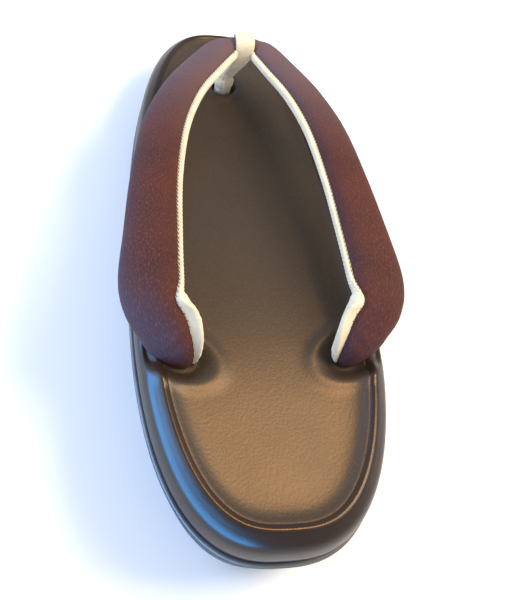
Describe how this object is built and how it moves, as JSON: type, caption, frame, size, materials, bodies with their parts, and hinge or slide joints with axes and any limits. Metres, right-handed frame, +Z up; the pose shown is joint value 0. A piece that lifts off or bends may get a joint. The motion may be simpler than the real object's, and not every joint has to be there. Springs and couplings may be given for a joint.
{
  "type": "zori sandal",
  "caption": "Women's zori sandal: wedge sole with a raised padded rim, wide padded thong straps lined in cream, and a cream toe loop.",
  "frame": {"origin": "on the floor, under the middle of the sole's length and width", "axes": "+Y from heel to toe, +X to the right, +Z up"},
  "size_m": [0.0938, 0.2476, 0.0607],
  "materials": {
    "rubber": "matt moulded foam rubber",
    "rim_leather": "smooth satin brown leatherette",
    "footbed_leather": "fine pebbled brown leatherette",
    "strap_crepe": "reddish brown crepe with fine pale streaks",
    "cream_cord": "cream brushed cotton"
  },
  "bodies": {
    "root": {"outsole": "rubber", "midsole": "rim_leather", "insole": "footbed_leather", "straps": "strap_crepe", "thong": "cream_cord"}
  },
  "joints": []
}
